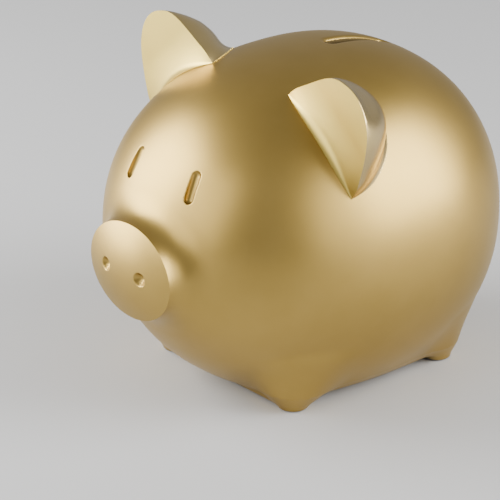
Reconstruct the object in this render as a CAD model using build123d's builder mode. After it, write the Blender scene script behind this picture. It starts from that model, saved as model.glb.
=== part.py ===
from build123d import *
import math
import os

os.makedirs("parts", exist_ok=True)

# Coin bank in the shape of a fat pig, cast in brass. The nose points to -Y, +X is the
# pig's left and +Z is up. The feet stand on Z = 0, and the origin is the middle of the base.
# Reaches along Y are counted from mid_y, the widest section of the body.

# Body: an egg of revolution about the nose-to-tail line, ground flat under the belly
mid_y = 7.0
axis_z = 68.7
body_radius = 78.0
nose_reach = 95.9
rump_reach = 85.9
squareness = 2.3
wall = 3.0
belly_z = 2.6
outline_step = 10

# Legs: short slanted cones that widen into the belly
foot_radius = 6.2
foot_z = 0.6
front_foot = (40.1, -44.2)
hind_foot = (43.3, 39.8)
leg_top_z = 26.0
leg_top_radius = 27.4
leg_top_share = 0.744

# Snout: an oval stub on the head, closed by a domed plate on two pins
snout_z = 69.1
snout_half_width = 27.1
snout_half_height = 21.8
snout_rim_reach = 103.1
snout_dome = 5.0
snout_blend = 6.0
stub_depth = 25.0
plate_edge = 2.6
seam_margin = 1.0
nostril_x = 11.3
nostril_radius = 3.6
nostril_depth = 1.6
snout_pin_radius = 2.0
snout_pin_length = 5.0

# Eyes: round-ended grooves in the face
eye_top = (18.7, -79.7, 115.3)
eye_bottom = (19.7, -86.2, 101.8)
eye_groove_radius = 2.2
eye_groove_depth = 1.2

# Coin slot along the top of the back
slot_front = 10.0
slot_length = 35.0
slot_width = 5.0
slot_bottom_z = 135.0
slot_top_z = 155.0

# Ears: flat in front, round behind, each fixed by a stud, a washer and a nut in the shell.
# A station is height above the base, middle, half width and depth of the half-oval section.
ear_face_reach = -35.0
ear_base_x = 46.7
ear_base_z = 123.9
ear_lean = 41.3
ear_stations = [
    (-16.0, 0.0, 27.0, 28.0),
    (0.0, 0.0, 27.0, 28.0),
    (10.0, -0.3, 24.1, 26.0),
    (20.0, -0.9, 20.0, 23.0),
    (27.0, -1.6, 15.8, 14.0),
    (31.0, -2.0, 12.0, 7.5),
    (33.6, -1.7, 8.0, 3.2),
    (35.2, -1.2, 3.4, 1.0),
]
stud_radius = 3.0
stud_inset = 12.0
stud_root = 7.0
stud_end = -8.5
boss_radius = 8.0
boss_root = 2.5
boss_face = -2.5
washer_radius = 6.5
washer_thickness = 1.0
nut_radius = 5.5
nut_thickness = 3.0

# Dowels across the seam between the half shells, set by their angle round the middle
dowel_radius = 2.0
dowel_length = 12.0
dowel_boss_radius = 5.0
dowel_boss_length = 20.0
dowel_inset = 8.0
dowel_angles = [40.0, 140.0, 215.0, 325.0]

# Belly mouth: a flanged collar with its screws, closed by a screw cap on a sealing ring
mouth_radius = 24.0
neck_radius = 30.0
flange_radius = 38.0
flange_top_z = 5.0
land_radius = 40.0
land_z = 10.0
collar_top_z = 16.0
seat_radius = 27.6
seat_z = 6.0
cap_face_z = 2.8
cap_flange_radius = 27.2
cap_flange_top_z = 5.0
running_gap = 0.08
cap_top_z = 14.0
cap_edge = 0.8
dish_radius = 19.0
dish_roof_z = 12.0
grip_bar_width = 6.0
ring_inner_radius = 24.4
ring_outer_radius = 27.0
screw_circle = 34.2
screw_radius = 1.5
screw_head_radius = 2.6
screw_head_height = 1.4
screw_top_z = 9.0
screw_count = 4

# Pads under the feet, and the tail: an open loop of thick wire on a stem
pad_radius = 5.0
pad_thickness = 1.5
tail_wire = 2.6
tail_loop = 6.5
tail_start = -90.0
tail_sweep = 265.0
tail_z = 82.0
tail_back = 101.1
tail_stem_depth = 12.0
tail_pin_radius = 2.0
tail_pin_end = 90.5


def outline_point(angle, inset):
    """Point (y, z) of the egg's outline, moved in by inset, at an angle from the tail upwards."""
    along = math.cos(math.radians(angle))
    up = math.sin(math.radians(angle))
    reach = (rump_reach if along > 0 else nose_reach) - inset
    radius = body_radius - inset
    distance = (abs(along / reach) ** squareness + abs(up / radius) ** squareness) ** (-1 / squareness)
    return mid_y + distance * along, axis_z + distance * up


def make_egg(inset, turn):
    """Solid egg turned about the nose-to-tail line from the top through the pig's left side."""
    points = [outline_point(step * outline_step, inset) for step in range(round(360 / outline_step))]
    with BuildPart() as egg:
        with BuildSketch(Plane.YZ):
            with BuildLine():
                Spline(*points, periodic=True)
            make_face()
            with Locations((mid_y, axis_z)):
                Rectangle(3 * nose_reach, 2 * body_radius, align=(Align.CENTER, Align.MIN),
                          mode=Mode.INTERSECT)
        revolve(axis=Axis((0, mid_y, axis_z), (0, 1, 0)), revolution_arc=turn)
        split(bisect_by=Plane.XY.offset(belly_z + inset), keep=Keep.TOP)
    return egg.part


def mouth_plane(z):
    """Level plane at height z, centred over the belly mouth."""
    return Plane(origin=(0, mid_y, z))


def face_plane(reach):
    """Upright plane across the nose at a reach in front of the body's middle."""
    return Plane(origin=(0, mid_y - reach, snout_z), x_dir=(1, 0, 0), z_dir=(0, -1, 0))


feet = {}
for side_name, side in (("left", 1), ("right", -1)):
    feet["front_" + side_name] = (side * front_foot[0], mid_y + front_foot[1])
    feet["hind_" + side_name] = (side * hind_foot[0], mid_y + hind_foot[1])

# ---------------------------------------------------------------- forms that shape the pieces
half_egg = make_egg(0, 180)
half_cavity = make_egg(wall, 180)
left_feet = [feet["front_left"], feet["hind_left"]]

with BuildPart() as half_body:
    add(half_egg)
    plain_edges = half_body.edges()
    with BuildSketch(face_plane(snout_rim_reach - plate_edge)):
        Ellipse(snout_half_width, snout_half_height)
        Rectangle(snout_half_width, 2 * snout_half_height, align=(Align.MIN, Align.CENTER),
                  mode=Mode.INTERSECT)
    extrude(amount=-stub_depth)
    stub_root = half_body.edges().filter_by(GeomType.BSPLINE) - plain_edges
    stub_root = stub_root.filter_by(lambda edge: edge.center().X > seam_margin)
    fillet(stub_root, snout_blend)
    for foot_x, foot_y in left_feet:
        with BuildSketch(Plane.XY.offset(foot_z)):
            with Locations((foot_x, foot_y)):
                Circle(foot_radius)
        with BuildSketch(Plane.XY.offset(leg_top_z)):
            with Locations((foot_x * leg_top_share, mid_y + (foot_y - mid_y) * leg_top_share)):
                Circle(leg_top_radius)
        loft()

eye_high = Vector(eye_top[0], mid_y + eye_top[1], eye_top[2])
eye_low = Vector(eye_bottom[0], mid_y + eye_bottom[1], eye_bottom[2])
eye_middle = (eye_high + eye_low) / 2
eye_outward = Vector(eye_middle.X, eye_middle.Y - mid_y, eye_middle.Z - axis_z).normalized()
eye_groove = Plane(
    origin=eye_middle + eye_outward * (eye_groove_radius - eye_groove_depth),
    z_dir=eye_high - eye_low,
)
eye_half_run = (eye_high - eye_low).length / 2 - eye_groove_radius
with BuildPart() as eye_cutter:
    with BuildSketch(eye_groove.offset(-eye_half_run)):
        Circle(eye_groove_radius)
    extrude(amount=2 * eye_half_run)
    with Locations(eye_groove.offset(eye_half_run), eye_groove.offset(-eye_half_run)):
        Sphere(eye_groove_radius)

# ---------------------------------------------------------------- ears
lean = math.radians(ear_lean)
ear_along = Vector(math.cos(lean), 0, -math.sin(lean))
ear_out = Vector(math.sin(lean), 0, math.cos(lean))
ear_base = Vector(ear_base_x, mid_y + ear_face_reach, ear_base_z)


def ear_plane(height):
    """Plane across the left ear at a height above its base, x along it and y to the tail."""
    return Plane(origin=ear_base + ear_out * height, x_dir=ear_along, z_dir=ear_out)


def stud_plane(height):
    """Plane across the left ear's stud, at a height above the ear's base."""
    centre = ear_base + Vector(0, stud_inset, 0) + ear_out * height
    return Plane(origin=centre, x_dir=ear_along, z_dir=ear_out)


def mirrored(piece):
    """The same piece on the pig's right side."""
    with BuildPart() as other_side:
        mirror(piece, about=Plane.YZ)
    return other_side.part


with BuildPart() as ear_left:
    for height, middle, half_width, depth in ear_stations:
        with BuildSketch(ear_plane(height)):
            with BuildLine():
                back = EllipticalCenterArc(
                    (middle, 0), half_width, depth, start_angle=0, arc_size=180
                )
                Line(back @ 0, back @ 1)
            make_face()
    loft()
    add(half_egg, mode=Mode.SUBTRACT)
    with BuildSketch(stud_plane(stud_root)):
        Circle(stud_radius)
    extrude(amount=stud_end - stud_root)
ear_left.part.label = "ear_left"
export_step(ear_left.part, "parts/ear_left.step")

with BuildPart() as ear_right:
    add(mirrored(ear_left.part))
ear_right.part.label = "ear_right"
export_step(ear_right.part, "parts/ear_right.step")

with BuildPart() as left_washer:
    with BuildSketch(stud_plane(boss_face)):
        Circle(washer_radius)
        Circle(stud_radius, mode=Mode.SUBTRACT)
    extrude(amount=-washer_thickness)
with BuildPart() as ear_washers:
    add(left_washer.part)
    add(mirrored(left_washer.part))
ear_washers.part.label = "ear_washers"
export_step(ear_washers.part, "parts/ear_washers.step")

with BuildPart() as left_nut:
    with BuildSketch(stud_plane(boss_face - washer_thickness)):
        RegularPolygon(nut_radius, 6)
        Circle(stud_radius, mode=Mode.SUBTRACT)
    extrude(amount=-nut_thickness)
with BuildPart() as ear_nuts:
    add(left_nut.part)
    add(mirrored(left_nut.part))
ear_nuts.part.label = "ear_nuts"
export_step(ear_nuts.part, "parts/ear_nuts.step")

# ---------------------------------------------------------------- snout plate
cap_sphere = (snout_half_width**2 + snout_dome**2) / (2 * snout_dome)
with BuildPart() as dome:
    with BuildSketch(Plane.XY):
        with BuildLine():
            crown = RadiusArc((snout_half_width, 0), (0, -snout_dome), cap_sphere)
            Polyline(crown @ 1, (0, 0), crown @ 0)
        make_face()
    revolve(axis=Axis.Y)
    scale(by=(1, 1, snout_half_height / snout_half_width))

nostril_reach = snout_rim_reach + snout_dome - nostril_x**2 / (2 * cap_sphere)
with BuildPart() as snout_plate:
    with BuildSketch(face_plane(snout_rim_reach - plate_edge)):
        Ellipse(snout_half_width, snout_half_height)
    extrude(amount=plate_edge)
    with Locations((0, mid_y - snout_rim_reach, snout_z)):
        add(dome.part)
    with Locations(face_plane(nostril_reach + nostril_radius - nostril_depth)):
        with Locations((nostril_x, 0), (-nostril_x, 0)):
            Sphere(nostril_radius, mode=Mode.SUBTRACT)
    with BuildSketch(face_plane(snout_rim_reach - plate_edge)):
        with Locations((nostril_x, 0), (-nostril_x, 0)):
            Circle(snout_pin_radius)
    extrude(amount=-snout_pin_length)
snout_plate.part.label = "snout_plate"
export_step(snout_plate.part, "parts/snout_plate.step")

# ---------------------------------------------------------------- tail
loop_y = tail_back - tail_wire
with BuildPart() as tail:
    with BuildLine(Plane(origin=(0, loop_y, tail_z), x_dir=(1, 0, 0), z_dir=(0, -1, 0))):
        curl = CenterArc((0, 0), tail_loop, tail_start, tail_sweep)
    with BuildSketch(Plane(origin=curl @ 0, z_dir=curl % 0)):
        Circle(tail_wire)
    sweep(path=curl.edge())
    with Locations(curl @ 0, curl @ 1):
        Sphere(tail_wire)
    with BuildSketch(Plane(origin=curl @ 0, z_dir=(0, -1, 0))):
        Circle(tail_wire)
    extrude(amount=tail_stem_depth)
    add(make_egg(0, 360), mode=Mode.SUBTRACT)
    with BuildSketch(Plane(origin=curl @ 0, z_dir=(0, -1, 0))):
        Circle(tail_pin_radius)
    extrude(amount=loop_y - tail_pin_end)
tail.part.label = "tail"
export_step(tail.part, "parts/tail.step")

# ---------------------------------------------------------------- belly collar, cap and ring
with BuildPart() as collar_screws:
    with BuildSketch(mouth_plane(belly_z)):
        with PolarLocations(screw_circle, screw_count, start_angle=45):
            Circle(screw_radius)
    extrude(amount=screw_top_z - belly_z)
    with BuildSketch(mouth_plane(belly_z)):
        with PolarLocations(screw_circle, screw_count, start_angle=45):
            Circle(screw_head_radius)
    extrude(amount=screw_head_height, taper=math.degrees(
        math.atan((screw_head_radius - screw_radius) / screw_head_height)))
collar_screws.part.label = "collar_screws"
export_step(collar_screws.part, "parts/collar_screws.step")

with BuildPart() as belly_collar:
    with BuildSketch(mouth_plane(belly_z)):
        Circle(flange_radius)
    extrude(amount=flange_top_z - belly_z)
    with BuildSketch(mouth_plane(belly_z)):
        Circle(neck_radius)
    extrude(amount=collar_top_z - belly_z)
    with BuildSketch(mouth_plane(belly_z)):
        Circle(seat_radius)
    extrude(amount=seat_z - belly_z, mode=Mode.SUBTRACT)
    with BuildSketch(mouth_plane(belly_z)):
        Circle(mouth_radius)
    extrude(amount=collar_top_z - belly_z, mode=Mode.SUBTRACT)
    add(collar_screws.part, mode=Mode.SUBTRACT)
belly_collar.part.label = "belly_collar"
export_step(belly_collar.part, "parts/belly_collar.step")

with BuildPart() as belly_cap:
    with BuildSketch(mouth_plane(cap_face_z)):
        Circle(cap_flange_radius)
    extrude(amount=cap_flange_top_z - cap_face_z)
    with BuildSketch(mouth_plane(cap_face_z)):
        Circle(mouth_radius - running_gap)
    extrude(amount=cap_top_z - cap_face_z)
    chamfer(belly_cap.faces().sort_by(Axis.Z)[-1].edges(), cap_edge)
    with BuildSketch(mouth_plane(cap_face_z)):
        Circle(dish_radius)
        Rectangle(grip_bar_width, 3 * dish_radius, mode=Mode.SUBTRACT)
    extrude(amount=dish_roof_z - cap_face_z, mode=Mode.SUBTRACT)
belly_cap.part.label = "belly_cap"
export_step(belly_cap.part, "parts/belly_cap.step")

with BuildPart() as cap_ring:
    with BuildSketch(mouth_plane(cap_flange_top_z)):
        Circle(ring_outer_radius)
        Circle(ring_inner_radius, mode=Mode.SUBTRACT)
    extrude(amount=seat_z - cap_flange_top_z)
cap_ring.part.label = "cap_ring"
export_step(cap_ring.part, "parts/cap_ring.step")

# ---------------------------------------------------------------- foot pads
foot_pads = {}
for foot_name, foot_place in feet.items():
    with BuildPart() as foot_pad:
        with BuildSketch(Plane.XY):
            with Locations(foot_place):
                Circle(pad_radius)
        extrude(amount=pad_thickness)
    foot_pad.part.label = "foot_pad_" + foot_name
    foot_pads[foot_name] = foot_pad.part
    export_step(foot_pad.part, "parts/foot_pad_" + foot_name + ".step")

# ---------------------------------------------------------------- dowels and half shells
dowel_places = []
for angle in dowel_angles:
    dowel_y, dowel_z = outline_point(angle, dowel_inset)
    dowel_places.append((dowel_y, dowel_z))

with BuildPart() as seam_dowels:
    with BuildSketch(Plane.YZ):
        with Locations(*dowel_places):
            Circle(dowel_radius)
    extrude(amount=dowel_length / 2, both=True)
seam_dowels.part.label = "seam_dowels"
export_step(seam_dowels.part, "parts/seam_dowels.step")

with BuildPart() as ear_boss:
    with BuildSketch(stud_plane(boss_root)):
        Circle(boss_radius)
    extrude(amount=boss_face - boss_root)

with BuildPart() as shell_left:
    add(half_body.part)
    add(half_cavity, mode=Mode.SUBTRACT)
    with BuildSketch(Plane.YZ):
        with Locations(*dowel_places):
            Circle(dowel_boss_radius)
    extrude(amount=dowel_boss_length / 2)
    add(ear_boss.part)
    with BuildSketch(mouth_plane(belly_z)):
        Circle(land_radius)
        Rectangle(land_radius, 2 * land_radius, align=(Align.MIN, Align.CENTER),
                  mode=Mode.INTERSECT)
    extrude(amount=land_z - belly_z)
    with BuildSketch(mouth_plane(belly_z)):
        Circle(flange_radius)
    extrude(amount=flange_top_z - belly_z, mode=Mode.SUBTRACT)
    with BuildSketch(mouth_plane(belly_z)):
        Circle(neck_radius)
    extrude(amount=land_z - belly_z, mode=Mode.SUBTRACT)
    with BuildSketch(Plane.XY.offset(slot_bottom_z)):
        with Locations((0, mid_y + slot_front + slot_length / 2)):
            SlotOverall(slot_length, slot_width, rotation=90)
    extrude(amount=slot_top_z - slot_bottom_z, mode=Mode.SUBTRACT)
    add(eye_cutter.part, mode=Mode.SUBTRACT)
    for cutter in (seam_dowels, collar_screws, snout_plate, tail, ear_left):
        add(cutter.part, mode=Mode.SUBTRACT)
    for foot_name in ("front_left", "hind_left"):
        add(foot_pads[foot_name], mode=Mode.SUBTRACT)
shell_left.part.label = "shell_left"
export_step(shell_left.part, "parts/shell_left.step")

with BuildPart() as shell_right:
    add(mirrored(shell_left.part))
shell_right.part.label = "shell_right"
export_step(shell_right.part, "parts/shell_right.step")
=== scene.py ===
import math

import bmesh
import bpy
import numpy as np
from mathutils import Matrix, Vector


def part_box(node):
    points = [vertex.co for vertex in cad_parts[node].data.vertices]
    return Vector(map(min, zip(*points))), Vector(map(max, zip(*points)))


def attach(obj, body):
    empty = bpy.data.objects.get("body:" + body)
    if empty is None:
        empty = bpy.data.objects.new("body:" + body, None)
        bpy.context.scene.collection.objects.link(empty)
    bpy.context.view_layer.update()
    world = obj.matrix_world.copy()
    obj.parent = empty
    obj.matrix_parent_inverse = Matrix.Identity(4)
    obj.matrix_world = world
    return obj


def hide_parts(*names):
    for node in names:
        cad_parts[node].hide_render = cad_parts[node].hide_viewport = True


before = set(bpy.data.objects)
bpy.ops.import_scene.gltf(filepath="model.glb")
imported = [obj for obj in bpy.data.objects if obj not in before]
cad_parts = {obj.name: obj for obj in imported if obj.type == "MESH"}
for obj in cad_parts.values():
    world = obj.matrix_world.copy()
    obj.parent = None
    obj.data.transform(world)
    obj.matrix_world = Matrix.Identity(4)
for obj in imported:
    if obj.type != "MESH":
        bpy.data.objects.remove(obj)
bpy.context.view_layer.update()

scene = bpy.context.scene
MM = 0.001

# ------------------------------------------------------------------ sizes, in millimetres
# Shapes are worked out in millimetres, with y counted from the body's widest section.
HALF_WIDTH = 77.2
HALF_HEIGHT = 78.9
NOSE_REACH = 95.9
RUMP_REACH = 85.9
SECTION_POWER = 2.16
LENGTH_POWER = 2.30
CHIN_SLIM = 0.3
CHIN_FADE = 40.0
AXIS_Z = 68.7
MID_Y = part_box("shell_left")[1].y / MM - RUMP_REACH
BELLY_Z = 2.6
WALL = 3.0

FOOT_Z = 0.6
FOOT_RADIUS = 6.6
FRONT_FOOT = (40.1, -44.2)
HIND_FOOT = (43.3, 39.8)
LEG_TOP_Z = 30.0
LEG_TOP_RADIUS = 31.0
LEG_TOP_SHARE = 0.705
FRONT_LEG_BLEND = 8.0
HIND_LEG_BLEND = 4.0
LEG_FADE_Z = 26.0
LEG_FADE = 0.04
FRONT_WEB_LIFT = 0.9
SIDE_WEB_LIFT = 4.0
HIND_WEB_LIFT = 3.0
WEB_BLEND = 6.0
BLEND_RISE = 8.0

SNOUT_Z = 69.1
SNOUT_HALF_WIDTH = 27.1
SNOUT_HALF_HEIGHT = 21.8
SNOUT_RIM = 103.1
SNOUT_DOME = 5.0
PLATE_EDGE = 2.6
PLATE_BACK = SNOUT_RIM - PLATE_EDGE
SNOUT_BLEND = 11.0

SLOT_FRONT = 10.0
SLOT_LENGTH = 35.0
SLOT_WIDTH = 5.0
SLOT_ROUND = 1.6

EYE_TOP = np.array([18.7, -79.7, 115.3])
EYE_BOTTOM = np.array([19.7, -86.2, 101.8])
EYE_RADIUS = 2.3
EYE_DEPTH = 1.25
EYE_ROUND = 0.5

# Across the left ear: u runs along its base away from the pig's middle, v up to its tip, and
# w back from its flat face. Each station has v, the middle in u, half the width and the depth.
EAR_FACE = -35.0
EAR_BASE = (46.7, 123.9)
EAR_LEAN = math.radians(41.35)
EAR_STATIONS = np.array([
    (-30, 0.0, 27.0, 28.0), (-8, 0.0, 27.1, 28.2), (0, 0.0, 27.0, 28.0), (5, 0.0, 26.2, 26.6),
    (11, -0.2, 23.9, 25.6), (18, -0.6, 20.9, 23.6), (24, -1.2, 17.9, 19.0), (28, -1.6, 15.2, 13.0),
    (31, -1.8, 12.15, 7.6), (33.6, -1.6, 8.0, 3.2)])
EAR_TOP = 35.6
EAR_POWER = 1.7
EAR_FLARE = 3.5
EAR_FLARE_TOP = 20.0
EAR_BLEND = 7.0
EAR_FACE_BLEND = 3.5
EAR_BLEND_END = 0.8
# The ear's skin ends this far above the body, and its foot goes this far down into it.
EAR_STEP = 0.3
EAR_SINK = 0.8

NOSTRIL_X = 11.3
NOSTRIL_Z = 69.9
NOSTRIL_RADIUS = 3.1
NOSTRIL_DEPTH = 2.6
NOSTRIL_ROUND = 0.4

TAIL_LOOP = 6.5
TAIL_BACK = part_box("tail")[1].y / MM - MID_Y
TAIL_Z = 82.0
TAIL_THICK = 2.7
TAIL_THIN = 1.1
TAIL_SWEEP = math.radians(280)
TAIL_SHRINK = 0.22
TAIL_DRIFT = 1.5

# Faces deeper below the outer skin than this get the near-black inside metal, whose dark colour is painted
# shade in the slot and the hollow.
INSIDE_DEPTH = 1.2
MOUTH_FLANGE = 38.05
MOUTH_NECK = 30.05
FLANGE_TOP_Z = 5.0
CUTTER_LOW_Z = -5
CUTTER_HIGH_Z = 20

# Grids for meshing: lowest corner, highest corner and step
BODY_GRID = ([-84, -107, -3], [84, 92, 154], 3.0)
HOLLOW_GRID = ([-80, -98, 0], [80, 88, 152], 5.0)
EAR_GRID = ([12, -47, 86], [96, 4, 158], 1.6)
# Steps for slopes, how far relaxing moves a point, and how near a skin counts as on it
SLOPE_STEP = 0.02
EAR_SLOPE_STEP = 0.05
RELAX_SHARE = 0.6
ON_SKIN = 0.04


# ------------------------------------------------------------------ implicit shapes
# A field gives, for points in an array of shape (n, 3), about how far outside a shape they are.
def slopes(field, points):
    """Gradient of a field at the points, by central differences."""
    columns = []
    for axis in range(3):
        shift = np.zeros(3)
        shift[axis] = SLOPE_STEP
        columns.append((field(points + shift) - field(points - shift)) / (2 * SLOPE_STEP))
    return np.stack(columns, axis=1)


def smooth_min(a, b, width):
    """Smaller of two fields, rounded where they differ by less than width."""
    share = np.maximum(width - np.abs(a - b), 0) / width
    return np.minimum(a, b) - share * share * width / 4


def smooth_max(a, b, width):
    """Larger of two fields, rounded in the same way."""
    return -smooth_min(-a, -b, width)


def smooth_curve(at, knots, values):
    """Cubic through the knots, with each knot's slope from its neighbours."""
    tangent = np.gradient(values, knots)
    at = np.clip(at, knots[0], knots[-1])
    span = np.clip(np.searchsorted(knots, at, side="right") - 1, 0, len(knots) - 2)
    length = knots[span + 1] - knots[span]
    t = (at - knots[span]) / length
    return ((1 + 2 * t) * (1 - t) ** 2 * values[span] + t * (1 - t) ** 2 * length * tangent[span]
            + t * t * (3 - 2 * t) * values[span + 1] + t * t * (t - 1) * length * tangent[span + 1])


def to_left(points):
    """The points with those of the right side mirrored onto the left."""
    return np.stack([np.abs(points[:, 0]), points[:, 1], points[:, 2]], axis=1)


def egg(points):
    """The pig's body without legs, snout or ears: a plump egg along y."""
    x, y, z = points[:, 0], points[:, 1], points[:, 2] - AXIS_Z
    reach = np.where(y < 0, NOSE_REACH, RUMP_REACH)
    below = np.clip(-z / CHIN_FADE, 0, 1)
    power = LENGTH_POWER - np.where(y < 0, CHIN_SLIM * below * below * (3 - 2 * below), 0)
    across = (np.abs(x) / HALF_WIDTH) ** SECTION_POWER + (np.abs(z) / HALF_HEIGHT) ** SECTION_POWER
    across = across ** (power / SECTION_POWER)
    level = (across + (np.abs(y) / reach) ** power) ** (1 / power)
    level = np.maximum(level, 0.05)
    # The level falls off along the radius as level / radius, and its slope is steeper
    # by the angle between the radius and the surface, which the ellipsoid's normal gives.
    steep = np.sqrt((x / HALF_WIDTH**2) ** 2 + (y / reach**2) ** 2 + (z / HALF_HEIGHT**2) ** 2)
    ball = (x / HALF_WIDTH) ** 2 + (y / reach) ** 2 + (z / HALF_HEIGHT) ** 2
    return (level - 1) / level * ball / np.maximum(steep, 1e-6)


def leg(points, foot, other, lift=0.0):
    """A slanted cone from a foot to a wide circle inside the belly, or, between two feet, the
    low web that such a cone leaves when it is swept from one to the other."""
    climb = (points[:, 2] - FOOT_Z - lift) / (LEG_TOP_Z - FOOT_Z)
    shrink = 1 - (1 - LEG_TOP_SHARE) * climb[:, None]
    start, end = np.array(foot) * shrink, np.array(other) * shrink
    run = end - start
    length = np.maximum(np.sum(run * run, axis=1), 1e-6)
    share = np.clip(np.sum((points[:, :2] - start) * run, axis=1) / length, 0, 1)
    away = points[:, :2] - start - share[:, None] * run
    distance = np.linalg.norm(away, axis=1)
    radius = FOOT_RADIUS + (LEG_TOP_RADIUS - FOOT_RADIUS) * climb
    nearest = np.array(foot) + share[:, None] * (np.array(other) - np.array(foot))
    lean = (1 - LEG_TOP_SHARE) * nearest / (LEG_TOP_Z - FOOT_Z)
    flare = (LEG_TOP_RADIUS - FOOT_RADIUS) / (LEG_TOP_Z - FOOT_Z)
    rise = np.sum(away * lean, axis=1) / np.maximum(distance, 1e-3) - flare
    fade = np.maximum(points[:, 2] - LEG_FADE_Z, 0)
    cone = (distance - radius) / np.sqrt(1 + rise * rise) + LEG_FADE * fade * fade
    if lift:
        cone = smooth_max(cone, FOOT_Z + lift - points[:, 2], 1.0)
    return cone


def snout_stub(points):
    """An endless oval rod through the nose."""
    x = points[:, 0] / SNOUT_HALF_WIDTH
    z = (points[:, 2] - SNOUT_Z) / SNOUT_HALF_HEIGHT
    level = np.sqrt(x * x + z * z)
    steep = np.sqrt((x / SNOUT_HALF_WIDTH) ** 2 + (z / SNOUT_HALF_HEIGHT) ** 2)
    rod = (level - 1) * level / np.maximum(steep, 1e-6)
    return np.maximum(rod, points[:, 1] + 40)


def slot_gap(points):
    """Distance outside the slot's stadium outline, seen from above."""
    half = (SLOT_LENGTH - SLOT_WIDTH) / 2
    along = points[:, 1] - SLOT_FRONT - SLOT_LENGTH / 2
    over = np.maximum(np.abs(along) - half, 0)
    return np.sqrt(points[:, 0] ** 2 + over * over) - SLOT_WIDTH / 2


def eye_groove(points):
    """A round-ended rod laid in the face, the same on both sides."""
    folded = to_left(points)
    middle = (EYE_TOP + EYE_BOTTOM) / 2
    run = EYE_TOP - EYE_BOTTOM
    length = np.linalg.norm(run)
    run = run / length
    out = middle - np.array([0, 0, AXIS_Z])
    out = out / np.linalg.norm(out)
    centre = middle + out * (EYE_RADIUS - EYE_DEPTH)
    half = length / 2 - EYE_RADIUS
    offset = folded - centre
    along = offset @ run
    beyond = offset - np.clip(along, -half, half)[:, None] * run
    return np.linalg.norm(beyond, axis=1) - EYE_RADIUS


def body_shape(points):
    """Egg, legs and snout in one smooth skin, with the belly ground flat."""
    field = smooth_max(egg(points), BELLY_Z - points[:, 2], 3.0)
    folded = to_left(points)
    spread = np.clip((points[:, 2] - FOOT_Z) / BLEND_RISE, 0.06, 1)
    for foot, other, lift in (
            (FRONT_FOOT, (0, FRONT_FOOT[1]), FRONT_WEB_LIFT),
            (HIND_FOOT, (0, HIND_FOOT[1]), HIND_WEB_LIFT),
            (FRONT_FOOT, HIND_FOOT, SIDE_WEB_LIFT)):
        field = smooth_min(field, leg(folded, foot, other, lift), WEB_BLEND * spread)
    for foot, blend in ((FRONT_FOOT, FRONT_LEG_BLEND), (HIND_FOOT, HIND_LEG_BLEND)):
        field = smooth_min(field, leg(folded, foot, foot), blend * spread)
    field = smooth_min(field, snout_stub(points), SNOUT_BLEND)
    return field


# ------------------------------------------------------------------ meshing
def net_of(field, low, high, step):
    """Triangle mesh of the field's zero surface: one point for each mixed cell of a grid."""
    axes = [np.arange(low[i], high[i] + step, step) for i in range(3)]
    grid = np.stack(np.meshgrid(*axes, indexing="ij"), axis=-1)
    shape = grid.shape[:3]
    inside = field(grid.reshape(-1, 3)).reshape(shape) < 0
    corners = np.zeros([n - 1 for n in shape], int)
    for dx in (0, 1):
        for dy in (0, 1):
            for dz in (0, 1):
                corners += inside[dx:shape[0] - 1 + dx, dy:shape[1] - 1 + dy, dz:shape[2] - 1 + dz]
    mixed = (corners > 0) & (corners < 8)
    index = np.full(mixed.shape, -1)
    index[mixed] = np.arange(mixed.sum())
    cells = np.argwhere(mixed)
    points = np.array(low) + (cells + 0.5) * step
    quads = []
    for axis in range(3):
        across, up = [(1, 2), (2, 0), (0, 1)][axis]
        ahead = np.roll(inside, -1, axis)
        crossing = inside != ahead
        keep = [slice(0, n - 1) for n in shape]
        keep[across] = slice(1, shape[across] - 1)
        keep[up] = slice(1, shape[up] - 1)
        window = np.zeros_like(crossing)
        window[tuple(keep)] = True
        at = np.argwhere(crossing & window)
        around = []
        for da, du in ((-1, -1), (0, -1), (0, 0), (-1, 0)):
            cell = at.copy()
            cell[:, across] += da
            cell[:, up] += du
            around.append(index[tuple(cell.T)])
        quad = np.stack(around, axis=1)
        solid_behind = inside[tuple(at.T)]
        quad[~solid_behind] = quad[~solid_behind][:, ::-1]
        quads.append(quad)
    quads = np.concatenate(quads)
    points = project(field, points, 4)
    first = np.linalg.norm(points[quads[:, 0]] - points[quads[:, 2]], axis=1)
    second = np.linalg.norm(points[quads[:, 1]] - points[quads[:, 3]], axis=1)
    swap = second < first
    quads[swap] = np.roll(quads[swap], -1, axis=1)
    return points, np.concatenate([quads[:, [0, 1, 2]], quads[:, [0, 2, 3]]])


def project(field, points, rounds):
    """Moves the points onto the field's zero surface along its slope."""
    for _ in range(rounds):
        gradient = slopes(field, points)
        length = np.maximum(np.sum(gradient * gradient, axis=1), 0.05)
        move = np.clip(field(points) / length, -2, 2)
        points = points - move[:, None] * gradient
    return points


def directed_edges(triangles):
    """The three edges of every triangle, each in the direction its triangle goes round."""
    return np.concatenate([triangles[:, [0, 1]], triangles[:, [1, 2]], triangles[:, [2, 0]]])


def edges_of(triangles):
    """Each edge of the mesh once, with its lower point first."""
    return np.unique(np.sort(directed_edges(triangles), axis=1), axis=0)


def relax(field, points, triangles, rounds, free=None):
    """Evens out the mesh: each point moves towards its neighbours' middle and back to the skin."""
    pairs = edges_of(triangles)
    both = np.concatenate([pairs, pairs[:, ::-1]])
    count = np.maximum(np.bincount(both[:, 0], minlength=len(points)), 1)
    for _ in range(rounds):
        sums = [np.bincount(both[:, 0], points[both[:, 1], i], len(points)) for i in range(3)]
        middle = np.stack(sums, axis=1)
        target = points + RELAX_SHARE * (middle / count[:, None] - points)
        target = project(field, target, 1)
        points = target if free is None else np.where(free[:, None], target, points)
    return points


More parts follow.
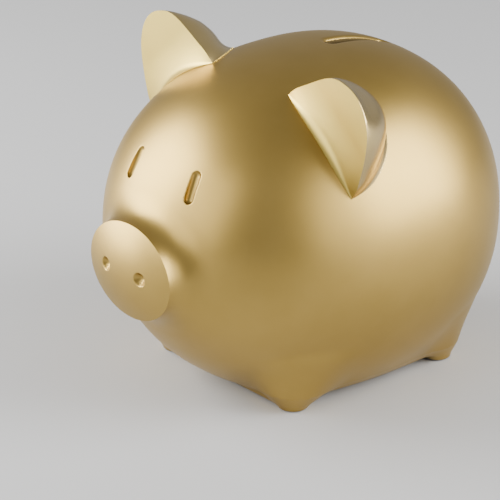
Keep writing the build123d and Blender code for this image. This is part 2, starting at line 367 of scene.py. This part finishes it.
def refine(field, points, triangles, wanted):
    """Halves the edges of the wanted triangles, and closes their neighbours to match."""
    chosen = triangles[wanted]
    split = {}
    added = []
    for pair in edges_of(chosen):
        split[(pair[0], pair[1])] = len(points) + len(added)
        added.append((points[pair[0]] + points[pair[1]]) / 2)
    points = np.concatenate([points, np.array(added)])
    touched = np.zeros(len(points), bool)
    touched[chosen.ravel()] = True
    near = touched[triangles].sum(axis=1) >= 2
    result = [triangles[~near]]
    extra = []
    for a, b, c in triangles[near]:
        ab = split.get((min(a, b), max(a, b)))
        bc = split.get((min(b, c), max(b, c)))
        ca = split.get((min(c, a), max(c, a)))
        cuts = [k is not None for k in (ab, bc, ca)]
        if sum(cuts) == 3:
            extra += [(a, ab, ca), (ab, b, bc), (ca, bc, c), (ab, bc, ca)]
        elif sum(cuts) == 0:
            extra.append((a, b, c))
        else:
            # Turned so that the first edge is cut, and the last is not
            while not (cuts[0] and not cuts[2]):
                a, b, c = b, c, a
                ab, bc, ca = bc, ca, ab
                cuts = cuts[1:] + cuts[:1]
            if cuts[1]:
                extra += [(ab, b, bc), (a, ab, bc), (a, bc, c)]
            else:
                extra += [(a, ab, c), (ab, b, c)]
    result.append(np.array(extra))
    return project(field, points, 2), np.concatenate(result)


def split_along(points, triangles, level, snap):
    """Cuts the triangles where level(points) changes sign. Points within snap of the cut count
    as on it. Returns the points, the triangles and each point's side: -1, 0 on the cut, or 1."""
    values = level(points)
    signs = np.where(np.abs(values) < snap, 0, np.sign(values))
    crossing = signs[triangles].max(axis=1) * signs[triangles].min(axis=1) < 0
    made = {}
    added = []

    def cut(i, j):
        key = (min(i, j), max(i, j))
        if key not in made:
            share = values[i] / (values[i] - values[j])
            made[key] = len(points) + len(added)
            added.append(points[i] + share * (points[j] - points[i]))
        return made[key]

    extra = []
    for tri in triangles[crossing]:
        a, b, c = tri
        while not (signs[a] * signs[b] < 0 and signs[a] * signs[c] <= 0):
            a, b, c = b, c, a
        ab = cut(a, b)
        if signs[c] == 0:
            extra += [(a, ab, c), (ab, b, c)]
        else:
            ca = cut(c, a)
            extra += [(a, ab, ca), (ab, b, c), (ab, c, ca)]
    points = np.concatenate([points, np.array(added).reshape(-1, 3)])
    signs = np.concatenate([signs, np.zeros(len(added))])
    triangles = np.concatenate([triangles[~crossing], np.array(extra).reshape(-1, 3).astype(int)])
    return points, triangles, signs


# ------------------------------------------------------------------ finishing a piece
def new_piece(name, points, faces):
    """Blender mesh object from points in millimetres about the body's middle."""
    mesh = bpy.data.meshes.new(name)
    placed = (np.asarray(points) + np.array([0, MID_Y, 0])) * MM
    mesh.from_pydata(placed.tolist(), [], [[int(i) for i in face] for face in faces])
    mesh.update()
    piece = bpy.data.objects.new(name, mesh)
    scene.collection.objects.link(piece)
    return piece


def points_of(piece):
    """The piece's points in millimetres about the body's middle."""
    flat = np.zeros(3 * len(piece.data.vertices))
    piece.data.vertices.foreach_get("co", flat)
    return flat.reshape(-1, 3) / MM - np.array([0, MID_Y, 0])


def true_normals(piece, skins):
    """Takes the normal of each face corner from the skin it lies on, or else from its face."""
    mesh = piece.data
    points = points_of(piece)
    loop_point = np.zeros(len(mesh.loops), int)
    mesh.loops.foreach_get("vertex_index", loop_point)
    face_normal = np.zeros(3 * len(mesh.polygons))
    mesh.polygons.foreach_get("normal", face_normal)
    sizes = np.zeros(len(mesh.polygons), int)
    mesh.polygons.foreach_get("loop_total", sizes)
    normals = np.repeat(face_normal.reshape(-1, 3), sizes, axis=0)
    face_side = normals.copy()
    for skin, side in skins:
        on_skin = np.abs(skin(points)) < ON_SKIN
        gradient = slopes(skin, points) * side
        gradient /= np.maximum(np.linalg.norm(gradient, axis=1), 1e-9)[:, None]
        corner = gradient[loop_point]
        agree = (np.sum(corner * face_side, axis=1) > 0.9) & on_skin[loop_point]
        normals[agree] = corner[agree]
    for polygon in mesh.polygons:
        polygon.use_smooth = True
    mesh.normals_split_custom_set(normals.tolist())


def mirrored(piece, name):
    """The same piece on the pig's right side, with its normals."""
    mesh = piece.data.copy()
    corner_normals = np.zeros(3 * len(mesh.loops))
    mesh.corner_normals.foreach_get("vector", corner_normals)
    corner_normals = corner_normals.reshape(-1, 3) * np.array([-1, 1, 1])
    faces = [list(polygon.vertices) for polygon in mesh.polygons]
    starts = [polygon.loop_start for polygon in mesh.polygons]
    twin = new_piece(name, points_of(piece) * np.array([-1, 1, 1]), [face[::-1] for face in faces])
    order = []
    for face, start in zip(faces, starts):
        order += [start + i for i in range(len(face) - 1, -1, -1)]
    for polygon, model in zip(twin.data.polygons, mesh.polygons):
        polygon.use_smooth = True
        polygon.material_index = model.material_index
    twin.data.normals_split_custom_set(corner_normals[order].tolist())
    bpy.data.meshes.remove(mesh)
    return twin


def cut_away(piece, cutter):
    """Takes the cutter's solid out of the piece and throws the cutter away."""
    modifier = piece.modifiers.new("cut", "BOOLEAN")
    modifier.operation = "DIFFERENCE"
    modifier.solver = "EXACT"
    modifier.object = cutter
    depsgraph = bpy.context.evaluated_depsgraph_get()
    mesh = bpy.data.meshes.new_from_object(piece.evaluated_get(depsgraph))
    piece.modifiers.clear()
    piece.data = mesh
    bpy.data.objects.remove(cutter)


def disc_prism(name, radius, low_z, high_z):
    """Plain round cutter about the belly mouth's axis."""
    segments = 160
    angles = [2 * math.pi * i / segments for i in range(segments)]
    ring = [(radius * math.cos(a), radius * math.sin(a)) for a in angles]
    points = [(x, y, z) for z in (low_z, high_z) for x, y in ring]
    faces = [list(range(segments))[::-1], [segments + i for i in range(segments)]]
    for i in range(segments):
        after = (i + 1) % segments
        faces.append([i, after, segments + after, segments + i])
    return new_piece(name, points, faces)


# ------------------------------------------------------------------ the two half shells
def body_skin(points):
    """The outer surface, whose slot is a pit that goes deeper than the wall."""
    field = smooth_max(body_shape(points), -eye_groove(points), EYE_ROUND)
    pit = np.maximum(slot_gap(points), -(egg(points) + 2 * WALL))
    pit = np.where(points[:, 2] > AXIS_Z, pit, 100.0)
    return smooth_max(field, -pit, 2 * SLOT_ROUND)


def cavity(points):
    """The hollow inside: the egg moved in by the wall, flat over the belly."""
    return np.maximum(egg(points) + WALL, BELLY_Z + WALL - points[:, 2])


def near_features(points, spread):
    """Points within spread of a groove or an edge that needs a finer mesh."""
    close = np.abs(eye_groove(points)) < spread
    close |= (np.abs(slot_gap(points)) < spread) & (points[:, 2] > AXIS_Z) & (egg(points) > -3)
    close |= (points[:, 2] - FOOT_Z) < 0.5 * spread
    return close


def outer_skin():
    """The body's outer surface, open at the nose, finer where its shape is."""
    skin = body_skin
    points, triangles = net_of(skin, *BODY_GRID)
    points = relax(skin, points, triangles, 4)
    shaped = (points[:, 2] < 22) | (points[:, 1] < -84) | near_features(points, 6.0)
    points, triangles = refine(skin, points, triangles, shaped[triangles].any(axis=1))
    points = relax(skin, points, triangles, 3)
    for spread in (3.0, 1.6):
        close = near_features(points, spread)
        points, triangles = refine(skin, points, triangles, close[triangles].any(axis=1))
        points = relax(skin, points, triangles, 2)
    return project(skin, points, 3), triangles


def cut_flat(mesh, at, normal):
    """Cuts an edit mesh with a plane, keeps what is behind the normal and closes the hole."""
    everything = mesh.verts[:] + mesh.edges[:] + mesh.faces[:]
    cut = bmesh.ops.bisect_plane(
        mesh, geom=everything, dist=1e-5, plane_co=at, plane_no=normal, clear_outer=True)
    rim = [item for item in cut["geom_cut"] if isinstance(item, bmesh.types.BMEdge)]
    bmesh.ops.holes_fill(mesh, edges=rim, sides=0)


def left_shell():
    """The left half casting: outer skin, hollow, belly mouth and true normals."""
    points, triangles = outer_skin()
    shell = new_piece("shell_left_casting", points, triangles)
    mesh = bmesh.new()
    mesh.from_mesh(shell.data)
    cut_flat(mesh, Vector((0, MID_Y - PLATE_BACK, 0)) * MM, Vector((0, -1, 0)))
    cut_flat(mesh, Vector((0, 0, FOOT_Z)) * MM, Vector((0, 0, -1)))
    cut_flat(mesh, Vector((0, 0, 0)), Vector((-1, 0, 0)))
    mesh.to_mesh(shell.data)
    mesh.free()
    hollow = new_piece("hollow", *net_of(cavity, *HOLLOW_GRID))
    cut_away(shell, hollow)
    cut_away(shell, disc_prism("flange_seat", MOUTH_FLANGE, CUTTER_LOW_Z, FLANGE_TOP_Z))
    cut_away(shell, disc_prism("neck_hole", MOUTH_NECK, CUTTER_LOW_Z, CUTTER_HIGH_Z))
    true_normals(shell, [(body_skin, 1), (lambda points: egg(points) + WALL, -1)])
    shell.data.materials.append(None)
    shell.data.materials.append(None)
    # Faces well inside the skin, away from the eye grooves, take the near-black inside metal: painted
    # shade for the slot's depths and the hollow.
    middles = np.array([list(polygon.center) for polygon in shell.data.polygons]) / MM - [0, MID_Y, 0]
    inside = (body_shape(middles) < -INSIDE_DEPTH) & (eye_groove(middles) > INSIDE_DEPTH)
    for polygon, dark in zip(shell.data.polygons, inside):
        polygon.material_index = int(dark)
    return shell


shell_left = left_shell()
shell_right = mirrored(shell_left, "shell_right_casting")


# ------------------------------------------------------------------ ears
def ear_frame(points):
    """(u, v, w) of points about the left ear."""
    x, z = points[:, 0] - EAR_BASE[0], points[:, 2] - EAR_BASE[1]
    u = x * math.cos(EAR_LEAN) - z * math.sin(EAR_LEAN)
    v = x * math.sin(EAR_LEAN) + z * math.cos(EAR_LEAN)
    across = np.clip(1 - (u / EAR_STATIONS[2, 2]) ** 2, 0, 1)
    low = np.clip(1 - v / EAR_FLARE_TOP, 0, 1.5)
    return u, v, points[:, 1] - EAR_FACE + EAR_FLARE * across * low * low


def ear_level(points):
    """Zero on the ear's rounded back and sides, positive outside."""
    u, v, w = ear_frame(points)
    height, middle, half, depth = EAR_STATIONS.T
    height = np.append(height, EAR_TOP)
    spread = np.append(half**2, 0.0)
    pinch = np.log(half**2 / depth**EAR_POWER)
    pinch = np.append(pinch, 2 * pinch[-1] - pinch[-2])
    middle = np.append(middle, middle[-1])
    slope = (spread[-1] - spread[-2]) / (height[-1] - height[-2])
    width = np.where(v > EAR_TOP, slope * (v - EAR_TOP), smooth_curve(v, height, spread))
    deep = np.exp(smooth_curve(v, height, pinch))
    centre = smooth_curve(v, height, middle)
    return (u - centre) ** 2 + deep * np.maximum(w, 0) ** EAR_POWER - width


def ear_back(points):
    """The ear's back and sides as a field."""
    level = ear_level(points)
    steep = np.zeros(len(points))
    for axis in range(3):
        shift = np.zeros(3)
        shift[axis] = EAR_SLOPE_STEP
        steep += ((ear_level(points + shift) - level) / EAR_SLOPE_STEP) ** 2
    return level / np.sqrt(np.maximum(steep, 1.0))


def ear_middle(points):
    """1 over the middle of the ear's base, falling to 0 at its two ends."""
    across = ear_frame(points)[0] / EAR_STATIONS[2, 2]
    return np.clip(1 - across * across, 0, 1)


def ear_side_skin(points):
    """The ear's back with the cove where it meets the body."""
    width = EAR_BLEND_END + (EAR_BLEND - EAR_BLEND_END) * np.sqrt(ear_middle(points))
    return smooth_min(ear_back(points), body_shape(points), width)


def ear_face_skin(points):
    """The ear's flat face with the cove where it meets the body."""
    width = EAR_BLEND_END + (EAR_FACE_BLEND - EAR_BLEND_END) * ear_middle(points)
    return smooth_min(-ear_frame(points)[2], body_shape(points), width)


def ear_skin(points):
    """The ear and the body in one skin."""
    return np.maximum(ear_side_skin(points), ear_face_skin(points))


def ear_crease(points):
    """Zero along the sharp edge between the ear's flat face and its back."""
    return ear_side_skin(points) - ear_face_skin(points)


def above_body(points):
    """Zero where the ear's skin ends, just above the body."""
    return body_shape(points) - EAR_STEP


def open_loop(triangles):
    """The points round the mesh's one open edge, in order."""
    directed = directed_edges(triangles)
    known = {(a, b) for a, b in directed}
    after = {b: a for a, b in directed if (b, a) not in known}
    start = next(iter(after))
    loop = [start]
    while after[loop[-1]] != start:
        loop.append(after[loop[-1]])
    return loop


def left_ear():
    """The ear with its foot where it meets the body, closed underneath."""
    points, triangles = net_of(ear_skin, *EAR_GRID)
    points = relax(ear_skin, points, triangles, 3)
    points, triangles, side = split_along(points, triangles, ear_crease, 0.35)
    rim = (side == 0) & (body_shape(points) > -1)
    on_rim = points[rim]
    for _ in range(8):
        on_rim = project(ear_side_skin, on_rim, 1)
        on_rim = project(ear_face_skin, on_rim, 1)
    points[rim] = on_rim
    points = relax(ear_skin, points, triangles, 2, side != 0)
    for spread in (4.0, 2.5):
        foot = np.abs(body_shape(points)) < spread
        points, triangles = refine(ear_skin, points, triangles, foot[triangles].any(axis=1))
        points = relax(ear_skin, points, triangles, 2, (np.abs(ear_crease(points)) > 0.3))
    points, triangles, above = split_along(points, triangles, above_body, 0.1)
    near = ear_back(points) < 12
    keep = (above[triangles].max(axis=1) > 0) & near[triangles].any(axis=1)
    triangles = triangles[keep]
    used, flat = np.unique(triangles, return_inverse=True)
    points, triangles = points[used], flat.reshape(-1, 3)
    loop = open_loop(triangles)
    sunk = points[loop] - EAR_SINK * slopes(body_shape, points[loop])
    back = ear_crease(points[triangles].mean(axis=1)) > 0
    faces = [list(triangle) for triangle in triangles]
    for i in range(len(loop)):
        j = (i + 1) % len(loop)
        faces.append([loop[i], loop[j], len(points) + j, len(points) + i])
    faces.append([len(points) + i for i in range(len(loop))])
    ear = new_piece("ear_left_casting", np.concatenate([points, sunk]), faces)
    true_normals(ear, [(ear_side_skin, 1), (ear_face_skin, 1)])
    ear.data.materials.append(None)
    ear.data.materials.append(None)
    for polygon in ear.data.polygons:
        polygon.material_index = int(polygon.index < len(triangles) and back[polygon.index])
    return ear


ear_left = left_ear()
ear_right = mirrored(ear_left, "ear_right_casting")


# ------------------------------------------------------------------ snout plate and tail
def plate_front(points):
    """Front of the snout: a shallow dome with two round dimples."""
    across = (points[:, 0] / SNOUT_HALF_WIDTH) ** 2
    across = across + ((points[:, 2] - SNOUT_Z) / SNOUT_HALF_HEIGHT) ** 2
    dome = -points[:, 1] - SNOUT_RIM - SNOUT_DOME * (1 - across)
    away = np.hypot(np.abs(points[:, 0]) - NOSTRIL_X, points[:, 2] - NOSTRIL_Z)
    bowl = dome + NOSTRIL_DEPTH * (1 - (away / NOSTRIL_RADIUS) ** 2)
    return smooth_max(dome, bowl, NOSTRIL_ROUND)


def loft(name, rings, skins):
    """Closed piece through rings of points, with a middle point at each end."""
    count = len(rings[0])
    points = np.concatenate([[rings[0].mean(axis=0)], *rings, [rings[-1].mean(axis=0)]])
    faces = []
    for i in range(count):
        j = (i + 1) % count
        faces.append([0, 1 + j, 1 + i])
        for ring in range(len(rings) - 1):
            low, high = 1 + ring * count, 1 + (ring + 1) * count
            faces.append([low + i, low + j, high + j, high + i])
        last = 1 + (len(rings) - 1) * count
        faces.append([last + i, last + j, len(points) - 1])
    piece = new_piece(name, points, faces)
    if skins:
        true_normals(piece, skins)
    return piece


def side_ring(ring):
    """Moves a ring across the snout onto the body's skin without leaving its plane."""
    for _ in range(8):
        gradient = slopes(body_shape, ring) * np.array([1, 0, 1])
        steep = np.maximum(np.sum(gradient * gradient, axis=1), 0.05)
        ring = ring - (body_shape(ring) / steep)[:, None] * gradient
    return ring


def make_snout_plate():
    """The domed oval plate, whose rim runs into the body's skin."""
    angles = np.linspace(0, 2 * np.pi, 216, endpoint=False)
    across, up = SNOUT_HALF_WIDTH * np.cos(angles), SNOUT_HALF_HEIGHT * np.sin(angles)
    outline = np.stack([across, 0 * angles, up], axis=1)
    rim = side_ring(outline + np.array([0, -SNOUT_RIM, SNOUT_Z]))
    middle = np.array([0, -SNOUT_RIM, SNOUT_Z])
    rings = []
    for share in np.linspace(0.015, 1, 62):
        ring = middle + share * (rim - middle)
        for _ in range(2):
            ring[:, 1] += plate_front(ring)
        rings.append(ring)
    for reach in np.linspace(SNOUT_RIM, PLATE_BACK, 4)[1:]:
        rings.append(side_ring(outline + np.array([0, -reach, SNOUT_Z])))
    rings.append(0.05 * outline + np.array([0, -PLATE_BACK, SNOUT_Z]))
    return loft("snout_plate_casting", rings, [(plate_front, 1), (body_shape, 1)])


def make_tail():
    """A curl that comes out of the rump, turns three quarters round and thins to its tip."""
    path = [(0, 78, TAIL_Z - TAIL_LOOP), (0, 82, TAIL_Z - TAIL_LOOP), (0, 86.0, TAIL_Z - TAIL_LOOP)]
    loop_y = TAIL_BACK - TAIL_THICK - 0.1
    for turn in np.radians(np.arange(-72, 190, 12)):
        share = (turn + math.pi / 2) / TAIL_SWEEP
        reach = TAIL_LOOP * (1 - TAIL_SHRINK * share)
        path.append((reach * math.cos(turn), loop_y - TAIL_DRIFT * share, TAIL_Z + reach * math.sin(turn)))
    path = np.array(path)
    knots = np.concatenate([[0], np.cumsum(np.linalg.norm(np.diff(path, axis=0), axis=1))])
    along = np.linspace(0, knots[-1], 90)
    line = np.stack([smooth_curve(along, knots, path[:, i]) for i in range(3)], axis=1)
    heading = np.gradient(line, axis=0)
    heading /= np.linalg.norm(heading, axis=1)[:, None]
    share = along / knots[-1]
    thickness = TAIL_THICK + (TAIL_THIN - TAIL_THICK) * np.clip((share - 0.25) / 0.75, 0, 1) ** 1.2
    rings = []
    side = np.array([1.0, 0, 0])
    turns = np.linspace(0, 2 * np.pi, 32, endpoint=False)
    for at, ahead, radius in zip(line, heading, thickness):
        side = side - ahead * (side @ ahead)
        side /= np.linalg.norm(side)
        up = np.cross(ahead, side)
        rings.append(at + radius * (np.cos(turns)[:, None] * side + np.sin(turns)[:, None] * up))
    tip, ahead, radius = line[-1], heading[-1], thickness[-1]
    for lean in np.radians([25, 50, 75]):
        middle = tip + ahead * radius * math.sin(lean)
        rings.append(middle + (rings[len(line) - 1] - tip) * math.cos(lean))
    tail = loft("tail_casting", rings, [])
    for polygon in tail.data.polygons:
        polygon.use_smooth = True
    return tail


snout_plate = make_snout_plate()
tail = make_tail()


# ------------------------------------------------------------------ finishes
ROUGH_SPREAD = 0.03


def new_material(name, roughness):
    """Material of even roughness, with its node tree and its surface node."""
    material = bpy.data.materials.new(name)
    material.use_nodes = True
    tree = material.node_tree
    surface = tree.nodes["Principled BSDF"]
    surface.inputs["Roughness"].default_value = roughness
    return material, tree, surface


def noise(tree, scale, detail=2.0):
    """Noise in the piece's own coordinates."""
    place = tree.nodes.new("ShaderNodeTexCoord")
    node = tree.nodes.new("ShaderNodeTexNoise")
    node.inputs["Scale"].default_value = scale
    node.inputs["Detail"].default_value = detail
    tree.links.new(place.outputs["Object"], node.inputs["Vector"])
    return node


def tint(tree, surface, pattern, dark, colour, low=0.0, high=1.0):
    """Colours the surface from dark to colour as the pattern goes from low to high."""
    ramp = tree.nodes.new("ShaderNodeValToRGB")
    first, second = ramp.color_ramp.elements
    first.position, second.position = low, high
    first.color, second.color = (*dark, 1), (*colour, 1)
    tree.links.new(pattern.outputs["Fac"], ramp.inputs["Fac"])
    tree.links.new(ramp.outputs["Color"], surface.inputs["Base Color"])


def emboss(tree, surface, pattern, strength, distance):
    """Raises the surface by the pattern."""
    bump = tree.nodes.new("ShaderNodeBump")
    bump.inputs["Strength"].default_value = strength
    bump.inputs["Distance"].default_value = distance
    tree.links.new(pattern.outputs["Fac"], bump.inputs["Height"])
    tree.links.new(bump.outputs["Normal"], surface.inputs["Normal"])


def metal(name, colour, dark, roughness, grain):
    """Cast metal with a fine satin grain and faint changes of tone."""
    material, tree, surface = new_material(name, roughness)
    surface.inputs["Metallic"].default_value = 1.0
    tint(tree, surface, noise(tree, 45.0, 5.0), dark, colour, 0.3, 0.7)
    fine = noise(tree, 1500.0)
    rough = tree.nodes.new("ShaderNodeMapRange")
    rough.inputs["To Min"].default_value = roughness - ROUGH_SPREAD
    rough.inputs["To Max"].default_value = roughness + ROUGH_SPREAD
    tree.links.new(fine.outputs["Fac"], rough.inputs["Value"])
    tree.links.new(rough.outputs["Result"], surface.inputs["Roughness"])
    emboss(tree, surface, fine, grain, 0.00005)
    return material


def rubber(name, colour):
    """Matt rubber with a fine moulded texture."""
    material, tree, surface = new_material(name, 0.75)
    surface.inputs["Specular IOR Level"].default_value = 0.35
    fine = noise(tree, 900.0)
    tint(tree, surface, fine, [c * 0.85 for c in colour], colour)
    emboss(tree, surface, fine, 0.3, 0.0001)
    return material


def plain(name, colour, roughness):
    """Even studio surface with a barely visible grain."""
    material, tree, surface = new_material(name, roughness)
    surface.inputs["Specular IOR Level"].default_value = 0.2
    tint(tree, surface, noise(tree, 30.0), [c * 0.99 for c in colour], colour)
    return material


# Each metal has its colour, its darker tone, its roughness and how deep its grain is.
satin_brass = metal("satin_brass", (0.43, 0.29, 0.08), (0.40, 0.268, 0.07), 0.38, 0.25)
ear_brass = metal("ear_brass", (0.64, 0.475, 0.12), (0.60, 0.445, 0.11), 0.36, 0.25)
bright_brass = metal("bright_brass", (0.62, 0.47, 0.21), (0.59, 0.44, 0.19), 0.24, 0.1)
# The inside metal is dull like a raw casting; its near-black colour is painted shade for the slot's depths
# and the hollow.
dull_inside_painted_shade = metal("dull_inside_painted_shade", (0.10, 0.07, 0.03), (0.07, 0.05, 0.02), 0.7, 0.4)
turned_brass = metal("turned_brass", (0.80, 0.60, 0.30), (0.77, 0.57, 0.28), 0.28, 0.15)
bright_steel = metal("bright_steel", (0.62, 0.62, 0.61), (0.56, 0.56, 0.55), 0.3, 0.2)
black_rubber = rubber("black_rubber", (0.02, 0.02, 0.02))
pad_rubber = rubber("pad_rubber", (0.03, 0.03, 0.032))

for piece, node, slot, materials in (
        (shell_left, "shell_left", "satin_brass", [satin_brass, dull_inside_painted_shade]),
        (shell_right, "shell_right", "satin_brass", [satin_brass, dull_inside_painted_shade]),
        (snout_plate, "snout_plate", "satin_brass", [satin_brass]),
        (ear_left, "ear_left", "ear_brass", [ear_brass, bright_brass]),
        (ear_right, "ear_right", "ear_brass", [ear_brass, bright_brass]),
        (tail, "tail", "ear_brass", [ear_brass])):
    for index, material in enumerate(materials):
        if index < len(piece.data.materials):
            piece.data.materials[index] = material
        else:
            piece.data.materials.append(material)
    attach(piece, "bank")
    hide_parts(node)

for node, slot, material in (
        ("seam_dowels", "steel", bright_steel), ("ear_washers", "steel", bright_steel),
        ("ear_nuts", "steel", bright_steel), ("collar_screws", "steel", bright_steel),
        ("belly_collar", "collar_brass", turned_brass), ("belly_cap", "cap_brass", turned_brass),
        ("cap_ring", "black_rubber", black_rubber),
        ("foot_pad_front_left", "pad_rubber", pad_rubber),
        ("foot_pad_hind_left", "pad_rubber", pad_rubber),
        ("foot_pad_front_right", "pad_rubber", pad_rubber),
        ("foot_pad_hind_right", "pad_rubber", pad_rubber)):
    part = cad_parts[node]
    if not part.data.materials:
        part.data.materials.append(material)
    for index in range(len(part.data.materials)):
        part.data.materials[index] = material


# ------------------------------------------------------------------ floor, light and camera
FLOOR_HALF = 6
LIT_POINT = (0, 0, 0.07)
WORLD_STRENGTH = 0.44

floor_mesh = bpy.data.meshes.new("floor")
floor_corners = [(x * FLOOR_HALF, y * FLOOR_HALF, 0) for x, y in ((-1, -1), (1, -1), (1, 1), (-1, 1))]
floor_mesh.from_pydata(floor_corners, [], [(0, 1, 2, 3)])
floor = bpy.data.objects.new("floor", floor_mesh)
scene.collection.objects.link(floor)
floor_mesh.materials.append(plain("studio_floor", (0.46, 0.46, 0.46), 0.6))


def soft_light(name, azimuth, elevation, distance, size, power):
    """Soft box seen from the pig at an azimuth (0 is -Y, 90 is +X) and elevation in degrees."""
    turn, rise = math.radians(azimuth), math.radians(elevation)
    away = Vector((math.sin(turn) * math.cos(rise), -math.cos(turn) * math.cos(rise), math.sin(rise)))
    lamp = bpy.data.lights.new(name, "AREA")
    lamp.shape = "RECTANGLE"
    lamp.size, lamp.size_y = size
    lamp.energy = power
    light = bpy.data.objects.new(name, lamp)
    light.location = Vector(LIT_POINT) + away * distance
    light.rotation_euler = away.to_track_quat("Z", "Y").to_euler()
    scene.collection.objects.link(light)


soft_light("face_box", -50, 21, 0.9, (0.62, 0.8), 22)
soft_light("rump_box", 127, 25, 1.1, (0.72, 1.0), 27)
soft_light("face_fill", -4, 24, 1.2, (0.75, 1.0), 7)
soft_light("rump_fill", 92, 18, 1.3, (0.6, 0.9), 4)

world = bpy.data.worlds.new("studio")
scene.world = world
world.use_nodes = True
world.node_tree.nodes["Background"].inputs["Color"].default_value = (1, 1, 1, 1)
world.node_tree.nodes["Background"].inputs["Strength"].default_value = WORLD_STRENGTH

eye = bpy.data.cameras.new("camera")
eye.lens = 231.8
eye.sensor_width = 36.0
camera = bpy.data.objects.new("camera", eye)
camera.location = (0.99456, -0.87978, 0.63804)
camera.rotation_euler = (math.radians(66.159), 0, math.radians(49.418))
scene.collection.objects.link(camera)
scene.camera = camera
